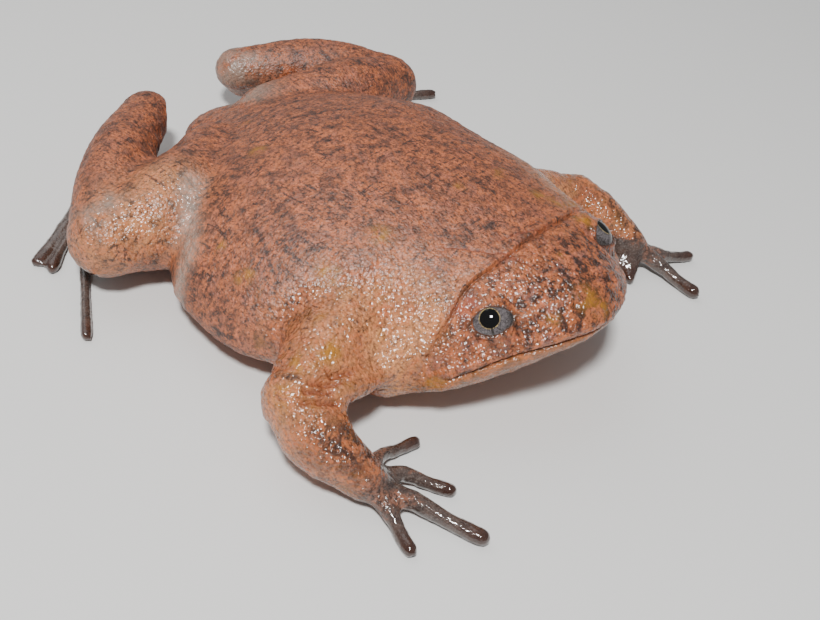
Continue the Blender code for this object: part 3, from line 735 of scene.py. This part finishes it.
class Value:
    """A shader socket that can be used in sums."""

    def __init__(self, tree, socket):
        self.tree = tree
        self.socket = socket

    def maths(self, operation, *others, clamp=False):
        """This value first, then the others, in one Math node."""
        made = self.tree.nodes.new("ShaderNodeMath")
        made.operation = operation
        made.use_clamp = clamp
        for slot, value in zip(made.inputs, (self, *others)):
            if isinstance(value, Value):
                self.tree.links.new(value.socket, slot)
            else:
                slot.default_value = value
        return Value(self.tree, made.outputs[0])

    def reflected(self, operation, other):
        """A plain number first, then this value."""
        made = self.tree.nodes.new("ShaderNodeMath")
        made.operation = operation
        made.inputs[0].default_value = other
        self.tree.links.new(self.socket, made.inputs[1])
        return Value(self.tree, made.outputs[0])

    def __add__(self, other):
        return self.maths("ADD", other)

    def __radd__(self, other):
        return self.maths("ADD", other)

    def __sub__(self, other):
        return self.maths("SUBTRACT", other)

    def __rsub__(self, other):
        return self.reflected("SUBTRACT", other)

    def __mul__(self, other):
        return self.maths("MULTIPLY", other)

    def __rmul__(self, other):
        return self.maths("MULTIPLY", other)

    def clamped(self):
        return self.maths("ADD", 0.0, clamp=True)

    def step(self, low, high):
        """0 below low, 1 above high, smooth between."""
        made = self.tree.nodes.new("ShaderNodeMapRange")
        made.interpolation_type = "SMOOTHSTEP"
        self.tree.links.new(self.socket, made.inputs["Value"])
        made.inputs["From Min"].default_value = low
        made.inputs["From Max"].default_value = high
        return Value(self.tree, made.outputs[0])


class Finish:
    """A material with one main shader, built node by node."""

    def __init__(self, name):
        self.material = bpy.data.materials.new(name)
        self.material.use_nodes = True
        self.tree = self.material.node_tree
        self.shader = self.tree.nodes["Principled BSDF"]
        self.masks = {}
        self.place = self.node("ShaderNodeTexCoord").outputs["Object"]

    def node(self, kind, settings=(), sockets=()):
        """A new node, with its settings, then the values or links of its sockets."""
        made = self.tree.nodes.new(kind)
        for key, value in dict(settings).items():
            setattr(made, key, value)
        self.fill(made, sockets)
        return made

    def fill(self, node, sockets):
        for key, value in dict(sockets).items():
            if isinstance(value, Value):
                self.tree.links.new(value.socket, node.inputs[key])
            elif isinstance(value, bpy.types.NodeSocket):
                self.tree.links.new(value, node.inputs[key])
            else:
                node.inputs[key].default_value = value

    def number(self, socket):
        return Value(self.tree, socket)

    def scaled(self, size, stretch=(1.0, 1.0, 1.0), turn=(0.0, 0.0, 0.0), shift=(0.0, 0.0, 0.0)):
        """Places in units of that size in millimetres."""
        scale = tuple(1 / (size * MM * part) for part in stretch)
        sockets = {"Vector": self.place, "Scale": scale, "Rotation": turn, "Location": shift}
        return self.node("ShaderNodeMapping", {}, sockets).outputs[0]

    def noise(self, size, detail=2.0, rough=0.5, warp=0.0, **placing):
        """Noise from 0 to 1, with bumps of that size in millimetres."""
        sockets = {
            "Vector": self.scaled(size, **placing),
            "Scale": 1.0,
            "Detail": detail,
            "Roughness": rough,
            "Distortion": warp,
        }
        return self.number(self.node("ShaderNodeTexNoise", {}, sockets).outputs["Fac"])

    def cells(self, size, feature="F1"):
        """Distance from the middles, or edges, of cells of that size in millimetres."""
        sockets = {"Vector": self.scaled(size), "Scale": 1.0}
        made = self.node("ShaderNodeTexVoronoi", {"feature": feature}, sockets)
        return self.number(made.outputs["Distance"])

    def mask(self, name):
        """One of the surface's own shares, read once."""
        if name not in self.masks:
            made = self.node("ShaderNodeAttribute", {"attribute_name": name})
            self.masks[name] = self.number(made.outputs["Fac"])
        return self.masks[name]

    def mix(self, first, second, share):
        """A colour between two others."""
        ends = [
            end if isinstance(end, bpy.types.NodeSocket) else (*end, 1.0) for end in (first, second)
        ]
        sockets = dict(zip(MIX_SOCKETS, (share, *ends)))
        return self.node("ShaderNodeMix", {"data_type": "RGBA"}, sockets).outputs[MIX_RESULT]

    def bump(self, height, distance):
        """Fine relief of that depth in millimetres."""
        sockets = {"Height": height, "Distance": distance * MM, "Strength": 1.0}
        self.set(Normal=self.node("ShaderNodeBump", {}, sockets).outputs["Normal"])

    def set(self, **sockets):
        """Values or links of the main shader's sockets, with _ for each space."""
        self.fill(self.shader, {name.replace("_", " "): value for name, value in sockets.items()})


def ground_colour(skin, settings, noises):
    """Salmon, rose and brown on the back, paler on the flanks, with pale grains and darker gaps, the
    gaps' dark being painted shade in the hollows between the grains.
    """
    head, flank, crown = skin.mask("head"), skin.mask("flank"), skin.mask("crown")
    patch, mottle, fine = noises.patch, noises.mottle, noises.fine
    browner = (mottle * 0.6 + patch * 0.4).step(0.42, 0.58)
    colour = skin.mix(settings.salmon, settings.brown, browner * 0.8)
    rose = tuple(part * tint for part, tint in zip(settings.salmon, ROSE_TINT))
    pinker = skin.noise(0.7, 4.0, 0.65, 0.5, shift=(5.0, 3.0, 1.0)).step(0.50, 0.64)
    colour = skin.mix(colour, rose, pinker * (0.5 + head * 0.3))
    soft = skin.noise(4.0, 3.0, 0.6)
    paler = (flank - skin.mask("arms") * 0.45) * (soft + mottle).step(0.72, 1.2)
    colour = skin.mix(colour, settings.pale, (paler * 0.8).clamped())
    mauve = skin.noise(1.3, 4.0, 0.6, 0.5, shift=(7.0, 1.0, 5.0)).step(0.50, 0.62)
    colour = skin.mix(colour, MAUVE, mauve * (0.3 + head * 0.3 - flank * 0.1))
    browner = 0.2 + mottle.step(0.40, 0.56) * 0.6
    colour = skin.mix(colour, settings.brown, skin.mask("forearm") * browner)
    colour = skin.mix(colour, settings.pale, noises.grains * (0.34 + flank * 0.25 + head * 0.2))
    speck_and_gap_shade = tuple(part * 0.45 for part in settings.brown)
    darker = 0.72 - flank * 0.25 - head * 0.2 + crown * 0.2
    colour = skin.mix(colour, speck_and_gap_shade, fine.step(0.44, 0.60) * darker)
    # Painted shade in the hollows between the grains, where the bump dents the gaps
    darker = noises.gaps * mottle.step(0.42, 0.58) * (0.5 - flank * 0.2)
    return skin.mix(colour, speck_and_gap_shade, darker)


def dark_marks(skin, noises):
    """How dark the skin is from blotches, streaks, specks and lines."""
    head, flank, crown = skin.mask("head"), skin.mask("flank"), skin.mask("crown")
    patch, mottle, fine = noises.patch, noises.mottle, noises.fine
    blotch = skin.noise(2.2, 5.0, 0.65, 0.8, shift=(9.0, 2.0, 4.0)).step(0.56, 0.66)
    streak = skin.noise(0.9, 4.0, 0.6, 0.5, stretch=(0.4, 3.6, 1.0), turn=(0.0, 0.0, 0.5))
    strip = skin.noise(0.8, 4.0, 0.6, 0.5, stretch=(3.2, 0.4, 1.0), turn=(0.0, 0.0, 0.9))
    streaks = streak.step(0.58, 0.66) + strip.step(0.59, 0.67)
    patchy = skin.noise(3.4, 3.0, 0.6, shift=(1.0, 7.0, 3.0)).step(0.35, 0.62)
    broken = fine.step(0.40, 0.55) * 0.6 + 0.4
    back = 0.2 + (1 - head) * (1 - flank * 0.7) * 0.8
    dark = (blotch * 0.75 + streaks * 1.4) * back * (0.25 + patchy * 0.75)
    dark = dark + crown * mottle.step(0.44, 0.58) + head * mottle.step(0.53, 0.65) * 0.45
    dark = dark + mottle.step(0.52, 0.62) * (0.55 - flank * 0.3) * (0.3 + patchy * 0.7)
    dark = dark * broken + fine.step(0.53, 0.61) * (0.5 - flank * 0.15)
    dark = dark + noises.speck.step(0.54, 0.62) * 0.45
    dark = dark + skin.mask("dark_line") * (fine * 2.0 - 0.2)
    legs = skin.mask("thigh") + skin.mask("groin") * 0.6
    dark = dark + legs * patch.step(0.5, 0.6) * mottle.step(0.45, 0.6) * 0.9
    return dark.clamped()


def marked_colour(skin, settings, noises, colour):
    """The ground colour with its dark marks, dark red painted shade in the creases, and ochre stains."""
    patch, mottle = noises.patch, noises.mottle
    paler = 0.3 + mottle.step(0.4, 0.6) * 0.35
    colour = skin.mix(colour, settings.pale, skin.mask("thigh") * paler)
    colour = skin.mix(colour, settings.speck, dark_marks(skin, noises) * 0.85)
    # Painted shade in the creases, dark red
    colour = skin.mix(colour, CREASE_SHADE_RED, skin.mask("crease_shade") * 0.75)
    colour = skin.mix(colour, CORNER_RED, skin.mask("socket_corner") * 0.7)
    stained = skin.noise(5.5, 4.0, 0.6, shift=(3.0, 8.0, 1.0)).step(0.66, 0.76) * 0.5
    stained = stained + skin.mask("stain") * 1.2 + skin.mask("flank") * patch.step(0.5, 0.66) * 0.3
    ochre = (stained * mottle.step(0.38, 0.6)).clamped()
    return skin.mix(colour, settings.ochre, ochre * 0.8)


def limb_colour(skin, settings, noises, finger, colour):
    """Painted grey sheen on the shins, a grey groin, dark cuffs, then slaty wet digits with red-brown
    tips.
    """
    mottle, fine = noises.mottle, noises.fine
    groin, palm = skin.mask("groin"), skin.mask("digits")
    # Painted sheen: the grey of the wet shine on the shins
    colour = skin.mix(colour, SHIN_SHEEN_GREY, skin.mask("shin_sheen") * noises.patch.step(0.36, 0.58) * 0.8)
    colour = skin.mix(colour, GROIN_GREY, groin * (0.45 + fine.step(0.4, 0.6) * 0.4))
    cuffs = (skin.mask("cuff") + groin * 0.3) * (mottle + fine * 0.5).step(0.66, 0.84)
    colour = skin.mix(colour, settings.speck, cuffs * 0.85)
    colour = skin.mix(colour, PALM_BROWN, palm * 0.55)
    colour = skin.mix(colour, settings.speck, palm * fine.step(0.46, 0.58) * 0.75)
    slate = skin.mix(settings.grey, settings.speck, mottle.step(0.42, 0.62) * 0.75)
    slate = skin.mix(slate, DIGIT_GRAIN, noises.grains * 0.3)
    slate = skin.mix(slate, TIP_BROWN, skin.mask("tips"))
    return skin.mix(colour, slate, finger * 0.92)


def wet_gloss(skin, noises, finger):
    """Small smooth domes, each with its own glint where the skin is wet."""
    wet = skin.mask("flank") + (skin.mask("head") + skin.mask("arms") + skin.mask("thigh")) * 0.9
    wet = (wet + (skin.mask("cuff") + skin.mask("groin") + skin.mask("shin_sheen")) * 0.6).clamped()
    granule = skin.cells(0.32)
    small = skin.noise(0.15, 0.0)
    height = small * 0.25 - granule * granule * (0.35 + wet * 0.5)
    height = height + noises.mottle * (0.55 - wet * 0.3)
    height = height + (noises.fine * 0.3 - noises.gaps * 0.15) * (1 - wet * 0.75)
    skin.bump(height * (1 - finger * 0.65), 0.14)
    rough = 0.46 + noises.mottle * 0.1 - finger * 0.26 - wet * 0.36
    skin.set(Roughness=rough, Coat_Weight=finger * 0.6)
    skin.set(Coat_Roughness=0.08, Specular_IOR_Level=0.7)


def skin_finish(settings):
    """Damp granular skin, laid on in layers from the ground colour to the gloss."""
    skin = Finish("wet_frog_skin")
    fine = skin.noise(0.3, 5.0, 0.75)
    speck = skin.noise(0.14, 3.0, 0.7)
    noises = SimpleNamespace(
        patch=skin.noise(1.8, 4.0, 0.6, 0.4, shift=(2.0, 6.0, 8.0)),
        mottle=skin.noise(0.9, 5.0, 0.65, 0.4),
        fine=fine,
        speck=speck,
        grains=(speck + fine * 0.7).step(0.84, 1.02),
        gaps=skin.cells(0.21).step(0.35, 0.85),
    )
    slate = skin.mask("slate")
    finger = (slate + (noises.mottle - 0.5) * slate.step(0.0, 0.4) * 1.6).step(0.25, 0.8)
    colour = ground_colour(skin, settings, noises)
    colour = marked_colour(skin, settings, noises, colour)
    colour = limb_colour(skin, settings, noises, finger, colour)
    colour = skin.mix(colour, JAW_BROWN, skin.mask("jaw") * 0.45)
    colour = skin.mix(colour, BELLY_CREAM, skin.mask("belly") * 0.8)
    # Painted shade in the bottom of the fold, the mouth and the gap between two toes, and along the lids
    painted_groove_shade = skin.mask("fold_line_shade") * 0.5 + skin.mask("mouth_line_shade") * 0.75
    painted_groove_shade = (painted_groove_shade + skin.mask("toe_gap_shade") + skin.mask("lid_edge_shade")).clamped()
    colour = skin.mix(colour, PAINTED_GROOVE_SHADE, painted_groove_shade * 0.85)
    skin.set(Base_Color=colour)
    wet_gloss(skin, noises, finger)
    return skin.material


def eye_finish(settings):
    """Black pupil, thin gold ring and silvery netted iris, darker at its top with painted shade of the
    upper lid, under a wet cornea.
    """
    eye = Finish("wet_eye")
    place = eye.node("ShaderNodeAttribute", {"attribute_name": "eye_place"}).outputs["Vector"]
    parts = eye.node("ShaderNodeSeparateXYZ", {}, {"Vector": place})
    across, up = eye.number(parts.outputs[0]), eye.number(parts.outputs[1])
    away = (across * across + up * up).maths("SQRT")
    pupil = settings.pupil / MM
    net = eye.noise(0.16, 3.0, 0.7, 1.5).step(0.44, 0.58)
    veins = eye.cells(0.3, "DISTANCE_TO_EDGE").step(0.09, 0.0)
    # The iris darkens towards its rim; its top is darker still with painted shade of the upper lid
    netting_and_lid_shade = net * 0.7 + veins * 0.4 + away.step(1.2, 1.75) * 0.6 + up.step(0.2, 1.1) * 0.5
    colour = eye.mix(settings.iris, settings.netting, netting_and_lid_shade.clamped())
    ring = (away - pupil).maths("ABSOLUTE").step(0.09, 0.03) * (1 - net)
    colour = eye.mix(colour, settings.ring, ring * 0.8)
    # A dark line runs down from the pupil
    below = up.step(0.0, -0.2) * across.maths("ABSOLUTE").step(0.14, 0.05)
    colour = eye.mix(colour, settings.netting, (below * 0.9).clamped())
    colour = eye.mix(colour, PUPIL_BLACK, away.step(pupil + 0.03, pupil - 0.03))
    # The coat is the cornea, and the iris under it has no gloss of its own
    eye.set(Base_Color=colour, Roughness=0.6, Specular_IOR_Level=0.0)
    eye.set(Coat_Weight=0.9, Coat_Roughness=0.01)
    return eye.material


def stage_finish(name, colour):
    """A plain matt surface with a faint cloudiness."""
    made = Finish(name)
    shade = made.noise(60.0, 2.0)
    darker = tuple(0.96 * part for part in colour)
    made.set(Base_Color=made.mix(colour, darker, shade), Roughness=0.75)
    return made.material


class FROG_OT_skin(Operator):
    """Builds the one skin that covers the head, body and limbs"""

    bl_idname = "frog.skin"
    bl_label = "Skin"

    def execute(self, context):
        settings = context.scene.frog_skin
        skin = closed_skin(settings.mesh_step)
        shape_skin(skin, settings.grain_height)
        thin_out(skin, MOST_TRIANGLES)
        write_masks(skin.data, point_array(skin.data))
        skin.data.materials.append(skin_finish(settings))
        select_only(skin)
        bpy.ops.object.shade_smooth()
        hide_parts(*FLESH_NODES)
        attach(skin, "root")
        return {"FINISHED"}


class FROG_OT_eyes(Operator):
    """Builds both eyeballs with iris, pupil and wet cornea"""

    bl_idname = "frog.eyes"
    bl_label = "Eyes"

    def execute(self, context):
        finish = eye_finish(context.scene.frog_eyes)
        for side in ("left", "right"):
            centre, axis, up, across = eye_frame(side)
            turn = Matrix((across, up, axis)).transposed()
            bpy.ops.object.select_all(action="DESELECT")
            bpy.ops.mesh.primitive_uv_sphere_add(segments=64, ring_count=40, radius=EYE_RADIUS * MM)
            ball = bpy.context.active_object
            ball.name = ball.data.name = f"eyeball_{side}"
            mesh = ball.data
            local = np.array([vert.co for vert in mesh.vertices])
            local[local[:, 2] > 0, 2] *= CORNEA_REACH / EYE_RADIUS
            made = mesh.attributes.new("eye_place", "FLOAT_VECTOR", "POINT")
            made.data.foreach_set("vector", (local / MM).astype(np.float32).ravel())
            places = local @ np.array(turn).T + (centre + SHIFT) * MM
            mesh.vertices.foreach_set("co", places.ravel())
            mesh.update()
            mesh.materials.append(finish)
            bpy.ops.object.shade_smooth()
            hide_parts(f"eye_{side}")
            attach(ball, "root")
        return {"FINISHED"}


class FROG_OT_stage(Operator):
    """Builds the floor, the lights and the camera"""

    bl_idname = "frog.stage"
    bl_label = "Stage"

    def execute(self, context):
        settings = context.scene.frog_stage
        bpy.ops.object.select_all(action="DESELECT")
        bpy.ops.mesh.primitive_plane_add(size=settings.floor_size, location=(0, 0, -FLOOR_GAP * MM))
        bpy.ops.object.transform_apply(location=True, rotation=True, scale=True)
        floor = bpy.context.active_object
        floor.name = "floor"
        floor.data.materials.append(stage_finish("pale_floor", settings.floor_colour))
        ahead, right, up = (Vector(way) for way in (CAMERA_AHEAD, CAMERA_RIGHT, CAMERA_UP))
        place = (Vector(CAMERA_PLACE) + Vector(SHIFT)) * MM
        self.light("key_light", *KEY_LIGHT, settings.key_power)
        self.light("fill_light", *FILL_LIGHT, settings.fill_power)
        bpy.ops.object.camera_add()
        camera = bpy.context.active_object
        camera.name = "photo_camera"
        camera.data.lens = CAMERA_LENS
        camera.data.sensor_width = SENSOR_WIDTH
        camera.data.clip_start = MM
        turn = Matrix((right, up, -ahead)).transposed().to_4x4()
        camera.matrix_world = Matrix.Translation(place) @ turn
        context.scene.camera = camera
        world = bpy.data.worlds.new("soft_room")
        world.use_nodes = True
        back = world.node_tree.nodes["Background"]
        back.inputs["Color"].default_value = (*SKY_COLOUR, 1.0)
        back.inputs["Strength"].default_value = settings.sky
        context.scene.world = world
        return {"FINISHED"}

    def light(self, name, place, size, power):
        """A square lamp that faces the frog."""
        bpy.ops.object.light_add(type="AREA", location=place)
        made = bpy.context.active_object
        made.name = name
        made.data.size = size
        made.data.energy = power
        made.rotation_euler = (-Vector(place)).to_track_quat("-Z", "Y").to_euler()


class FROG_PT_tools(Panel):
    """Lists the pieces in the 3D view's sidebar"""

    bl_idname = "FROG_PT_tools"
    bl_label = "Frog"
    bl_space_type = "VIEW_3D"
    bl_region_type = "UI"
    bl_category = "Frog"

    def draw(self, context):
        for group, operator in SECTIONS:
            column = self.layout.column()
            settings = getattr(context.scene, group)
            for name in settings.bl_rna.properties.keys():
                if name not in ("rna_type", "name"):
                    column.prop(settings, name)
            column.operator(operator)


SECTIONS = (("frog_stage", "frog.stage"), ("frog_skin", "frog.skin"), ("frog_eyes", "frog.eyes"))
GROUPS = {"frog_stage": FrogStageSettings, "frog_skin": FrogSkinSettings, "frog_eyes": FrogEyeSettings}
CLASSES = (*GROUPS.values(), FROG_OT_stage, FROG_OT_skin, FROG_OT_eyes, FROG_PT_tools)


def register():
    for made in CLASSES:
        bpy.utils.register_class(made)
    for name, group in GROUPS.items():
        setattr(bpy.types.Scene, name, PointerProperty(type=group))


def unregister():
    for name in GROUPS:
        delattr(bpy.types.Scene, name)
    for made in reversed(CLASSES):
        bpy.utils.unregister_class(made)


def main():
    register()
    bpy.ops.frog.stage()
    bpy.ops.frog.skin()
    bpy.ops.frog.eyes()


if __name__ == "__main__":
    main()
